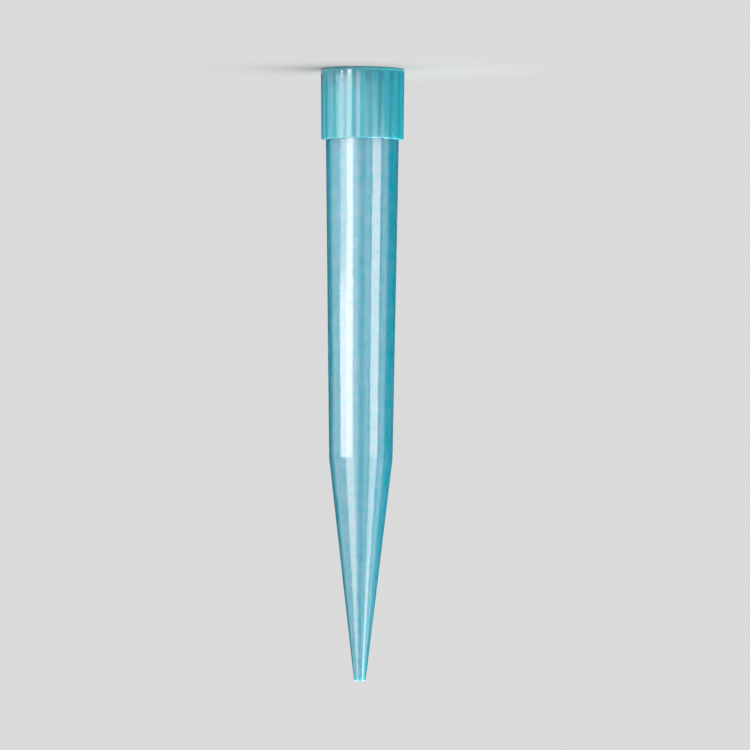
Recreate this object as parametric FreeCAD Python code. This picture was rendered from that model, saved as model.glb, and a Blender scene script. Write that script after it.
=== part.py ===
import FreeCAD, Part
import math
import os

# Pipette tip for a 1000 microlitre pipette: one piece of moulded polypropylene.
# It stands on its collar with the point up.  The origin is the centre of the mouth's rim,
# +Z runs along the axis to the point, and all lengths are millimetres.

# Seat for the pipette's nozzle, from the rim inwards
lead_in_depth = 1.2       # flared mouth in front of the seat
seat_diameter = 8.1
seat_length = 4.3
stop_height = 0.5         # sloping stop between the seat and the barrel

# Collar, measured between its ribs
collar_past_stop = 2.25   # how far the collar goes on beyond the stop
collar_wall = 0.695       # round the seat, at the ledge
collar_draft = 0.45       # degrees, wider towards the rim
collar_ledge = 0.47       # how far the collar stands out from the body

# Grip ribs on the collar, and the plain band that closes them off at the rim
rib_count = 20
rib_height = 0.06
rib_width = 1.0           # at its foot
rib_crest_trim = 0.01     # taken off the round of each rib, which leaves a narrow land
band_height = 0.3
band_over_ribs = 0.02
rim_wall = 0.54

# Body, from the ledge to the shoulder, and cone, from the shoulder to the point
body_length = 37.1
body_wall = 0.6
body_draft = 0.855        # degrees, narrower towards the shoulder
cone_length = 25.95
orifice_diameter = 0.8
point_wall = 0.28

# Rounds and bevels on the edges
rim_round = 0.13
ledge_bevel = 0.07
seat_round = 0.3
shoulder_round = 3.0
lip_round = 0.1
largest_share = 0.45      # of a wall or ledge, that a round on one of its edges may take

# Heights and radii that follow
seat_end = lead_in_depth + seat_length
stop_end = seat_end + stop_height
collar_height = stop_end + collar_past_stop
shoulder_height = collar_height + body_length
total_length = shoulder_height + cone_length

collar_slope = math.tan(math.radians(collar_draft))
body_slope = math.tan(math.radians(body_draft))
seat_radius = seat_diameter / 2
ledge_radius = seat_radius + collar_wall
band_radius = ledge_radius + collar_height * collar_slope + rib_height + band_over_ribs
mouth_radius = band_radius - rim_wall
body_radius = ledge_radius - collar_ledge
shoulder_radius = body_radius - body_length * body_slope
shoulder_bore_radius = shoulder_radius - body_wall
barrel_radius = shoulder_bore_radius + (shoulder_height - stop_end) * body_slope
orifice_radius = orifice_diameter / 2
point_radius = orifice_radius + point_wall


def flank_radius(height):
    """The collar's radius between the ribs at this height."""
    return ledge_radius + (collar_height - height) * collar_slope


def fitted(round_radius, width):
    """The round asked for, or the largest that an edge of a wall this wide can take."""
    return min(round_radius, largest_share * width)


def rounded_wire(corners):
    """A closed wire in the XZ plane through (radius, height, round) corners.

    Each corner is replaced by an arc of its round, tangent to both its sides.
    """
    points = [FreeCAD.Vector(radius, 0, height) for radius, height, _ in corners]
    starts, mids, ends = [], [], []
    for index, (_, _, round_radius) in enumerate(corners):
        corner = points[index]
        back = (points[index - 1] - corner).normalize()
        ahead = (points[(index + 1) % len(points)] - corner).normalize()
        middle = (back + ahead).normalize()
        half_angle = back.getAngle(ahead) / 2
        reach = round_radius / math.tan(half_angle)
        to_arc = round_radius / math.sin(half_angle) - round_radius
        starts.append(corner + back * reach)
        mids.append(corner + middle * to_arc)
        ends.append(corner + ahead * reach)
    edges = []
    for index, (_, _, round_radius) in enumerate(corners):
        following = (index + 1) % len(corners)
        if round_radius > 0:
            edges.append(Part.Arc(starts[index], mids[index], ends[index]).toShape())
        edges.append(Part.LineSegment(ends[index], starts[following]).toShape())
    return Part.Wire(edges)


def turned(corners):
    """The solid that the rounded outline makes when it is turned round the Z axis."""
    face = Part.Face(rounded_wire(corners))
    return face.revolve(FreeCAD.Vector(0, 0, 0), FreeCAD.Vector(0, 0, 1), 360)


def wall_of_revolution():
    """Collar, body and cone with the whole bore, up the outside and down the inside."""
    band_top = band_height + rib_height
    bevel = fitted(ledge_bevel, collar_ledge)
    return turned([
        (band_radius, 0, fitted(rim_round, band_height)),
        (band_radius, band_height, 0),
        (flank_radius(band_top), band_top, 0),
        (flank_radius(collar_height - bevel), collar_height - bevel, 0),
        (ledge_radius - bevel, collar_height, 0),
        (body_radius, collar_height, 0),
        (shoulder_radius, shoulder_height, shoulder_round),
        (point_radius, total_length, fitted(lip_round, point_wall)),
        (orifice_radius, total_length, 0),
        (shoulder_bore_radius, shoulder_height, 0),
        (barrel_radius, stop_end, seat_round),
        (seat_radius, seat_end, 0),
        (seat_radius, lead_in_depth, seat_round),
        (mouth_radius, 0, 0),
    ])


def rib_envelope():
    """The ring that holds the ribs: it trims their crests and bevels their upper ends.

    It starts inside the plain band and reaches into the collar's wall, so that each rib
    grows out of both.
    """
    foot = band_height / 2
    depth = collar_wall / 2
    bevel = fitted(ledge_bevel, collar_ledge)
    bevel_start = collar_height - bevel
    return turned([
        (flank_radius(foot) + rib_height, foot, 0),
        (flank_radius(bevel_start) + rib_height, bevel_start, 0),
        (ledge_radius + rib_height - bevel, collar_height, 0),
        (ledge_radius - depth, collar_height, 0),
        (flank_radius(foot) - depth, foot, 0),
    ])


def rib_rod(angle):
    """A round rod sunk in the collar's drafted flank, longer than the collar at both ends.

    What stands out of the flank is as wide and as high as the rib, with its trim.
    """
    crest = rib_height + rib_crest_trim
    radius = (rib_width ** 2 / 4 + crest ** 2) / (2 * crest)
    sink = radius - crest
    foot = FreeCAD.Vector(flank_radius(0) - sink, 0, 0)
    head = FreeCAD.Vector(ledge_radius - sink, 0, collar_height)
    along = (head - foot).normalize()
    length = foot.distanceToPoint(head) + 2 * rib_width
    rod = Part.makeCylinder(radius, length, foot - along * rib_width, along)
    rod.rotate(FreeCAD.Vector(0, 0, 0), FreeCAD.Vector(0, 0, 1), angle)
    return rod


def ribs():
    """All the grip ribs, evenly spaced round the collar, from the band to the ledge."""
    envelope = rib_envelope()
    pitch = 360 / rib_count
    return [rib_rod(number * pitch).common(envelope) for number in range(rib_count)]


def pipette_tip():
    """The whole tip as one solid."""
    return wall_of_revolution().multiFuse(ribs()).removeSplitter().Solids[0]


tip = pipette_tip()
os.makedirs("parts", exist_ok=True)
tip.exportStep("parts/pipette_tip.step")
print("pipette_tip valid:", tip.isValid(), "volume:", round(tip.Volume, 2), "height:", total_length)
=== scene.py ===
import math

import bpy
from mathutils import Matrix, Vector


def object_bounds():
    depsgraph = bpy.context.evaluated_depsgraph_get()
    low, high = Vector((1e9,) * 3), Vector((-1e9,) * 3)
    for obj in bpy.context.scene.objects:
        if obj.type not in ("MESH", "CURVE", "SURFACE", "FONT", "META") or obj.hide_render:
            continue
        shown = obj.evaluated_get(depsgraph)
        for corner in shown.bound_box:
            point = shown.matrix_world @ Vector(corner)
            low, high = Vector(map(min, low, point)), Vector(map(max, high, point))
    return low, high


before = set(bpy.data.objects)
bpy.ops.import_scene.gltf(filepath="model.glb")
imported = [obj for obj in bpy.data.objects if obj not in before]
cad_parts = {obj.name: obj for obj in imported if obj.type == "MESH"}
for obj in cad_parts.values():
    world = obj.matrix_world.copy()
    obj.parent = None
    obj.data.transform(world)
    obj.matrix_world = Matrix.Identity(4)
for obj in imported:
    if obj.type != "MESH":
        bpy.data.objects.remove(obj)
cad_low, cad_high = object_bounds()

# A long universal pipette tip in sky blue polypropylene. It stands on its collar, point up,
# on a pale paper floor.
# Lengths are in millimetres, and MM turns them to Blender's metres. Bearings are in degrees
# round the tip: 0 is towards the camera and 90 is along +X.
MM = 0.001
MIDDLE_HEIGHT = (cad_low.z + cad_high.z) / 2
COLLAR_RADIUS = (cad_high.x - cad_low.x) / 2
COLLAR_HEIGHT = 8.25
RIBS_ROUND_COLLAR = 20

# Colours, as sRGB hex. Milk is the dyed plastic where its crystals scatter the most light.
BARREL_DYE = "#02ACC0"
BARREL_MILK = "#80B2CE"
GROOVE_DYE = "#04ACBE"
# Rib crests and rim band: partly thicker, milkier plastic, partly a painted highlight.
RIB_MILK_AND_HIGHLIGHT = "#2ABECC"
# Painted shade for the dark cells in the grooves near the rim.
PAINTED_CELL_SHADE = "#188CA8"
TINT_IN_DEPTH = "#00F3FB"
TINT_PER_METRE = 900
PAPER = "#A29A9A"
BACKDROP = "#DADADA"
AIR = "#818181"
BLACK_CARD = "#141414"

# How the plastic lets light in. Red goes least far, because the dye takes it.
PLASTIC_IOR = 1.49
CLEAR_SHARE = 0.45
SCATTER_DEPTH = 2.0
SCATTER_BY_COLOUR = (0.4, 0.9, 1.0)

# Milky clouds. The crystals are about 0.05 mm across, too fine to show, so the milk that they
# make is drawn in clouds of 1.2 mm, and in flow streaks 0.9 mm wide and 20 times as long.
CLOUD_WIDTH = 1.2
STREAK_WIDTH = 0.9
STREAK_STRETCH = 20
MILK_FROM = 0.40
MILK_TO = 0.90
COLLAR_CLOUD_SHARE = 0.45

# Collar. The side values are on a wave that is 1 on each rib's crest and -1 mid-groove. The
# rest are heights above the rim that bound the painted highlight along the rim and the painted
# shade in the dark cells near it, and the share of that painted shade.
GROOVE_SIDE = -0.7
CREST_SIDE = 0.6
# The rim's painted highlight, full up to the first height and gone at the second.
RIM_HIGHLIGHT_UP_TO = 0.2
RIM_HIGHLIGHT_GONE = 0.7
CELL_UP_TO = 1.0
CELL_GONE = 2.6
CELL_SHARE = 0.5
COLLAR_SKIN_UP_TO = COLLAR_HEIGHT + 0.02
COLLAR_SKIN_GONE = COLLAR_HEIGHT + 0.12

# Skin. Orange peel has its real size. Polishing lines are about 0.02 mm wide, too fine to
# show, and are drawn 0.18 mm wide.
PEEL_WIDTH = 0.7
PEEL_DEPTH = 0.005
POLISH_WIDTH = 0.18
POLISH_STRETCH = 40
POLISH_DEPTH = 0.004
BARREL_ROUGHNESS = 0.35
COLLAR_ROUGHNESS = 0.6
ROUGHNESS_SWING = 0.05
BARREL_GLOSS = 1.0
COLLAR_GLOSS = 0.7
GLOSS_IOR = 1.9           # above the plastic's own, to mirror lamps as strongly as the real skin
GLOSS_ROUGHNESS = 0.1

# All the noise patterns share these. Nearly every value lies between the low and the high.
NOISE_ROUGHNESS = 0.6
NOISE_LOW = 0.3
NOISE_HIGH = 0.7

# The softboxes and the floor panels are a little warm, so that their bands on the blue plastic
# come out white. The lamps from above are a little cool, and the paper makes up the rest.
WARM_TINT = (1.0, 0.8, 0.76)
COOL_TINT = (0.84, 1.0, 1.0)

# Brightness of the lamps' faces.
LEFT_GLOW = 5.2
RIGHT_GLOW = 4.0
FAN_GLOW = 3.0
STREAK_GLOW = 3.3
RIGHT_STREAK_GLOW = 1.2
TOP_GLOW = 0.6

# Sizes and places in the studio. The paper shows out to SHADOW_GROUND and the backdrop beyond
# BACKDROP_FROM.
FLOOR_HALF_WIDTH = 3000
SHADOW_GROUND = 7
BACKDROP_FROM = 26
SOFTBOX_AWAY = 200
FLOOR_PANEL_HEIGHT = 0.2
HIGH_LAMP_AWAY = 321
HIGH_LAMP_HEIGHT = 418.5
HIGH_LAMP_SIZE = 600
TOP_LAMP_HEIGHT = 750
TOP_LAMP_SIZE = 800
CARD_FOOT_HEIGHT = 0.1
CARD_STEPS = 12

# Camera. It stands a little towards -X, and its roll turns the collar to the top of the view.
CAMERA_ASIDE = -1.6
CAMERA_AWAY = 498
CAMERA_ROLL = 180.27
CAMERA_LENS = 205
CAMERA_SENSOR = 36
CAMERA_CLIP = 10


def linear(hex_colour):
    """An sRGB hex colour as linear red, green and blue, with full alpha."""
    values = [int(hex_colour[i:i + 2], 16) / 255 for i in (1, 3, 5)]
    return [v / 12.92 if v <= 0.04045 else ((v + 0.055) / 1.055) ** 2.4 for v in values] + [1]


def add(tree, kind, settings=(), **inputs):
    """A node with its settings. An input is named by its socket, or as in0, in1 and so on
    by its place, and gets a value or a link."""
    node = tree.nodes.new(kind)
    for name, value in dict(settings).items():
        setattr(node, name, value)
    for name, value in inputs.items():
        if name.startswith("in") and name[2:].isdigit():
            socket = node.inputs[int(name[2:])]
        else:
            socket = next(s for s in node.inputs if s.name.lower().replace(" ", "_") == name)
        if isinstance(value, bpy.types.NodeSocket):
            tree.links.new(value, socket)
        else:
            socket.default_value = value
    return node


def empty_material(name):
    """A material with no nodes yet, and its node tree."""
    material = bpy.data.materials.new(name)
    material.use_nodes = True
    material.node_tree.nodes.clear()
    return material, material.node_tree


def blend_colours(tree, share, first, second):
    """The mix of two colours, each a hex string or a socket."""
    first, second = (linear(c) if isinstance(c, str) else c for c in (first, second))
    mix = add(tree, "ShaderNodeMix", {"data_type": "RGBA"}, in0=share, in6=first, in7=second)
    return mix.outputs[2]


def fade(tree, value, start, end, first=0.0, last=1.0, shape="SMOOTHSTEP"):
    """Goes from first to last while the value goes from start to end."""
    node = add(tree, "ShaderNodeMapRange", {"interpolation_type": shape}, value=value,
               from_min=start, from_max=end, to_min=first, to_max=last)
    return node.outputs[0]


def stretched_noise(tree, place, width, stretch, detail):
    """Noise with marks of this width, and stretch times as long along the tip."""
    squeezed = add(tree, "ShaderNodeMapping", vector=place, scale=(1, 1, 1 / stretch))
    noise = add(tree, "ShaderNodeTexNoise", vector=squeezed.outputs[0], scale=1 / (width * MM),
                detail=detail, roughness=NOISE_ROUGHNESS)
    return noise.outputs["Fac"]


def rib_mask(tree, x, y):
    """1 on the crests of the collar's ribs, falling softly to 0 in the grooves."""
    angle = add(tree, "ShaderNodeMath", {"operation": "ARCTAN2"}, in0=y, in1=x).outputs[0]
    turn = add(tree, "ShaderNodeMath", {"operation": "MULTIPLY"}, in0=angle,
               in1=RIBS_ROUND_COLLAR).outputs[0]
    wave = add(tree, "ShaderNodeMath", {"operation": "COSINE"}, in0=turn).outputs[0]
    return fade(tree, wave, GROOVE_SIDE, CREST_SIDE)


def collar_colours(tree, x, y, height, milk):
    """The rib crests are lighter than the grooves, partly as thicker, milkier plastic and partly as
    a painted highlight, and the grooves show the dye. A band along the rim is a painted highlight,
    and near the rim the grooves carry painted shade as dark cells."""
    rib = rib_mask(tree, x, y)
    # Painted highlight along the rim, fading out above it.
    rim = fade(tree, height, RIM_HIGHLIGHT_UP_TO * MM, RIM_HIGHLIGHT_GONE * MM, 1.0, 0.0)
    # The rib crests, partly thicker plastic and partly painted highlight, and the rim's painted
    # highlight.
    thick = add(tree, "ShaderNodeMath", {"operation": "MAXIMUM"}, in0=rib, in1=rim).outputs[0]
    milk_and_highlight = add(tree, "ShaderNodeMix", in0=COLLAR_CLOUD_SHARE, in2=thick, in3=milk).outputs[0]
    colour = blend_colours(tree, milk_and_highlight, GROOVE_DYE, RIB_MILK_AND_HIGHLIGHT)
    # Painted shade in the grooves near the rim, as dark cells that fade out upwards.
    foot = fade(tree, height, CELL_UP_TO * MM, CELL_GONE * MM, CELL_SHARE, 0.0)
    groove = add(tree, "ShaderNodeMath", {"operation": "SUBTRACT"}, in0=1.0, in1=thick).outputs[0]
    cell_shade = add(tree, "ShaderNodeMath", {"operation": "MULTIPLY"}, in0=groove, in1=foot).outputs[0]
    return blend_colours(tree, cell_shade, colour, PAINTED_CELL_SHADE)


def dyed_polypropylene():
    """Polypropylene, dyed sky blue and injection moulded in a polished steel mould.

    The eye sees into it: light goes in, loses its red and comes back blue from within, more so
    where the wall is thick. Crystals cloud it here and there. The cold steel leaves a glossy
    skin on the barrel and a duller one on the collar.
    """
    material, tree = empty_material("dyed_polypropylene")
    place = add(tree, "ShaderNodeTexCoord").outputs["Object"]
    x, y, height = add(tree, "ShaderNodeSeparateXYZ", vector=place).outputs
    collar = fade(tree, height, COLLAR_SKIN_UP_TO * MM, COLLAR_SKIN_GONE * MM, 1.0, 0.0, "LINEAR")

    # Milk: round clouds, and streaks that the melt drew out along the tip as it filled the mould.
    cloud = stretched_noise(tree, place, CLOUD_WIDTH, stretch=1, detail=1.5)
    streak = stretched_noise(tree, place, STREAK_WIDTH, STREAK_STRETCH, detail=2.0)
    both = add(tree, "ShaderNodeMix", in0=0.5, in2=cloud, in3=streak).outputs[0]
    milk = fade(tree, both, MILK_FROM, MILK_TO, shape="LINEAR")
    barrel_colour = blend_colours(tree, milk, BARREL_DYE, BARREL_MILK)
    collar_colour = collar_colours(tree, x, y, height, milk)
    colour = blend_colours(tree, collar, barrel_colour, collar_colour)

    # The mould was polished by hand: faint orange peel, with fine lines along the tip.
    peel = stretched_noise(tree, place, PEEL_WIDTH, stretch=1, detail=2.0)
    line = stretched_noise(tree, place, POLISH_WIDTH, POLISH_STRETCH, detail=1.0)
    peel_bump = add(tree, "ShaderNodeBump", strength=1.0, distance=PEEL_DEPTH * MM, height=peel)
    skin = add(tree, "ShaderNodeBump", strength=1.0, distance=POLISH_DEPTH * MM, height=line,
               normal=peel_bump.outputs[0]).outputs[0]
    plain = add(tree, "ShaderNodeMix", in0=collar, in2=BARREL_ROUGHNESS,
                in3=COLLAR_ROUGHNESS).outputs[0]
    swing = fade(tree, line, NOISE_LOW, NOISE_HIGH, -ROUGHNESS_SWING, ROUGHNESS_SWING, "LINEAR")
    roughness = add(tree, "ShaderNodeMath", {"operation": "ADD"}, in0=plain, in1=swing).outputs[0]
    gloss = add(tree, "ShaderNodeMix", in0=collar, in2=BARREL_GLOSS, in3=COLLAR_GLOSS).outputs[0]

    plastic = add(tree, "ShaderNodeBsdfPrincipled", base_color=colour, roughness=roughness,
                  ior=PLASTIC_IOR, transmission_weight=CLEAR_SHARE, subsurface_weight=1.0,
                  subsurface_scale=SCATTER_DEPTH * MM, subsurface_radius=SCATTER_BY_COLOUR,
                  coat_weight=gloss, coat_ior=GLOSS_IOR, coat_roughness=GLOSS_ROUGHNESS,
                  normal=skin, coat_normal=skin)
    dye = add(tree, "ShaderNodeVolumeAbsorption", color=linear(TINT_IN_DEPTH),
              density=TINT_PER_METRE)
    add(tree, "ShaderNodeOutputMaterial", surface=plastic.outputs[0], volume=dye.outputs[0])
    return material


def seen_directly(tree):
    """1 for rays from the camera, and for those mirrored or let through to it."""
    path = add(tree, "ShaderNodeLightPath").outputs
    seen = add(tree, "ShaderNodeMath", {"operation": "MAXIMUM"}, in0=path["Is Camera Ray"],
               in1=path["Is Glossy Ray"]).outputs[0]
    return add(tree, "ShaderNodeMath", {"operation": "MAXIMUM"}, in0=seen,
               in1=path["Is Transmission Ray"]).outputs[0]


def pale_paper():
    """Matt paper that holds the tip's soft shadow. Beyond the shadow it goes over into the
    backdrop's own plain colour."""
    material, tree = empty_material("pale_paper")
    place = add(tree, "ShaderNodeTexCoord").outputs["Object"]
    distance = add(tree, "ShaderNodeVectorMath", {"operation": "LENGTH"}, in0=place).outputs["Value"]
    away = fade(tree, distance, SHADOW_GROUND * MM, BACKDROP_FROM * MM)
    share = add(tree, "ShaderNodeMath", {"operation": "MULTIPLY"}, in0=seen_directly(tree),
                in1=away).outputs[0]
    paper = add(tree, "ShaderNodeBsdfDiffuse", color=linear(PAPER)).outputs[0]
    backdrop = add(tree, "ShaderNodeEmission", color=linear(BACKDROP), strength=1.0).outputs[0]
    both = add(tree, "ShaderNodeMixShader", in0=share, in1=paper, in2=backdrop)
    add(tree, "ShaderNodeOutputMaterial", surface=both.outputs[0])
    return material


def black_felt():
    """Matt black felt on the cards, which gives almost no light back."""
    material, tree = empty_material("black_felt")
    felt = add(tree, "ShaderNodeBsdfDiffuse", color=linear(BLACK_CARD))
    add(tree, "ShaderNodeOutputMaterial", surface=felt.outputs[0])
    return material


def stage_mesh(name, corners, faces, material):
    """A piece of the studio."""
    mesh = bpy.data.meshes.new(name)
    mesh.from_pydata(corners, [], faces)
    mesh.materials.append(material)
    piece = bpy.data.objects.new(name, mesh)
    bpy.context.scene.collection.objects.link(piece)
    return piece


def bearing(degrees, distance, height=0.0):
    """The point at this bearing and distance from the tip's axis."""
    turn = math.radians(degrees)
    return Vector((distance * math.sin(turn), -distance * math.cos(turn), height))


def lamp(name, place, rotation, width, height, glow, tint):
    """A soft panel, whose glow is the brightness of its face."""
    data = bpy.data.lights.new(name, "AREA")
    data.shape = "RECTANGLE"
    data.size = width
    data.size_y = height
    data.energy = glow * math.pi * width * height
    data.color = tint
    light = bpy.data.objects.new(name, data)
    light.location = place
    light.rotation_euler = rotation
    light.visible_camera = False
    bpy.context.scene.collection.objects.link(light)


def facing(place, aim):
    """The rotation that points a lamp at place towards aim."""
    return (aim - place).to_track_quat("-Z", "Y").to_euler()


def softbox(name, turn, spread, foot, head, glow, away=SOFTBOX_AWAY):
    """An upright panel beside the tip, from foot to head in height and spread degrees wide.
    The barrel mirrors it as a band."""
    middle = (foot + head) / 2 * MM
    place = bearing(turn, away * MM, middle)
    width = 2 * away * MM * math.tan(math.radians(spread) / 2)
    toward_tip = facing(place, Vector((0, 0, middle)))
    lamp(name, place, toward_tip, width, (head - foot) * MM, glow, WARM_TINT)


def floor_panel(name, turn, near, far, width, glow):
    """A panel that lies on the floor and shines up, from near to far in front of the collar's
    face. The collar's upright wall mirrors it as a streak."""
    face = bearing(turn / 2, COLLAR_RADIUS)
    place = face + bearing(turn, (near + far) / 2 * MM, FLOOR_PANEL_HEIGHT * MM)
    face_up = (math.pi, 0, math.radians(turn))
    lamp(name, place, face_up, width * MM, (far - near) * MM, glow, WARM_TINT)


def high_lamp(name, turn, glow):
    """A large soft lamp, 50 degrees up. It lights the tip's sides and puts no band on them."""
    place = bearing(turn, HIGH_LAMP_AWAY * MM, HIGH_LAMP_HEIGHT * MM)
    toward_tip = facing(place, Vector((0, 0, MIDDLE_HEIGHT)))
    size = HIGH_LAMP_SIZE * MM
    lamp(name, place, toward_tip, size, size, glow, COOL_TINT)


def top_lamp():
    """A large soft lamp straight above."""
    size = TOP_LAMP_SIZE * MM
    lamp("top", Vector((0, 0, TOP_LAMP_HEIGHT * MM)), (0, 0, 0), size, size, TOP_GLOW, COOL_TINT)


def black_card(name, first, last, near, far, head, felt):
    """A curved black card from bearing first to last, with a foot on the floor that runs in
    towards the tip. Only the gloss sees it, so that the pale room leaves the sides their
    colour, and no light is lost."""
    turns = [first + (last - first) * i / CARD_STEPS for i in range(CARD_STEPS + 1)]
    rows = ((near, CARD_FOOT_HEIGHT), (far, CARD_FOOT_HEIGHT), (far, head))
    corners = [bearing(turn, away * MM, height * MM) for away, height in rows for turn in turns]
    row = len(turns)
    faces = [(i + k, i + k + 1, i + k + row + 1, i + k + row)
             for k in (0, row) for i in range(CARD_STEPS)]
    card = stage_mesh(name, corners, faces, felt)
    card.visible_camera = False
    card.visible_diffuse = False
    card.visible_transmission = False
    card.visible_shadow = False


def studio_air():
    """Even light from all round, which looks like the backdrop."""
    world = bpy.data.worlds.new("studio_air")
    bpy.context.scene.world = world
    world.use_nodes = True
    tree = world.node_tree
    tree.nodes.clear()
    tint = blend_colours(tree, seen_directly(tree), AIR, BACKDROP)
    glow = add(tree, "ShaderNodeBackground", color=tint, strength=1.0)
    add(tree, "ShaderNodeOutputWorld", surface=glow.outputs[0])


def camera():
    """Half a metre in front at mid-height, turned so that the collar is at the view's top."""
    data = bpy.data.cameras.new("camera")
    data.lens = CAMERA_LENS
    data.sensor_width = CAMERA_SENSOR
    data.clip_start = CAMERA_CLIP * MM
    view = bpy.data.objects.new("camera", data)
    place = Matrix.Translation((CAMERA_ASIDE * MM, -CAMERA_AWAY * MM, MIDDLE_HEIGHT))
    level = Matrix.Rotation(math.radians(90), 4, "X")
    upside_down = Matrix.Rotation(math.radians(CAMERA_ROLL), 4, "Z")
    view.matrix_world = place @ level @ upside_down
    bpy.context.scene.collection.objects.link(view)
    bpy.context.scene.camera = view


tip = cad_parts["pipette_tip"]
tip.data.materials[0] = dyed_polypropylene()

half = FLOOR_HALF_WIDTH * MM
floor_corners = [(-half, -half, 0), (half, -half, 0), (half, half, 0), (-half, half, 0)]
stage_mesh("studio_floor", floor_corners, [(0, 1, 2, 3)], pale_paper())

# Name, bearing, degrees wide, foot, head and glow.
softbox("left_core", 38.5, 20, 1, 66, LEFT_GLOW)
softbox("left_outer_low", 60, 27, 1, 23, LEFT_GLOW * 0.4)
softbox("left_outer_high", 61.5, 32, 24, 61, LEFT_GLOW * 0.9)
softbox("left_cone", 41, 32, 69, 132, LEFT_GLOW * 0.55)
softbox("right_barrel", -46.5, 29, 1, 66, RIGHT_GLOW)
softbox("right_cone", -46, 27, 69, 132, RIGHT_GLOW * 0.65)
softbox("left_haze", 57, 105, 1, 132, 0.55, 220)
softbox("front_left", 19, 14, 1, 132, 1.0)
softbox("front_right", -18, 16, 1, 132, 0.8)
softbox("right_edge", -80, 18, 1, 132, 0.5)

# Name, bearing, near end, far end, width and glow. Each is wider as it lies further out, so
# that the collar shows a streak of one width from its rim to its ledge.
floor_panel("streak_1", 39, 3, 12, 2.5, STREAK_GLOW * 3.0)
floor_panel("streak_2", 39, 12, 40, 9, STREAK_GLOW * 1.6)
floor_panel("streak_3", 39, 40, 105, 27, STREAK_GLOW)
floor_panel("streak_4", 39, 105, 194, 55, LEFT_GLOW * 0.8)
floor_panel("left_fan_1", 47, 12, 40, 26, FAN_GLOW)
floor_panel("left_fan_2", 47, 40, 100, 70, FAN_GLOW)
floor_panel("left_fan_3", 47, 100, 190, 145, FAN_GLOW)
floor_panel("right_streak_1", -30, 30, 90, 26, RIGHT_STREAK_GLOW)
floor_panel("right_streak_2", -30, 90, 194, 62, RIGHT_STREAK_GLOW * 1.5)

# Name, bearing and glow.
high_lamp("high_right", -75, 3.2)
high_lamp("high_left", 150, 2.2)
high_lamp("high_back", -135, 2.6)
top_lamp()

# Name, first and last bearing, near and far end of the foot, head and felt.
felt = black_felt()
black_card("black_card_right", -93, -165, 5.5, 260, 130, felt)
black_card("black_card_left", 120, 165, 10, 260, 130, felt)
black_card("black_card_floor", -18, -93, 5.5, 160, 0.11, felt)
studio_air()
camera()

bpy.context.scene.view_settings.view_transform = "Standard"
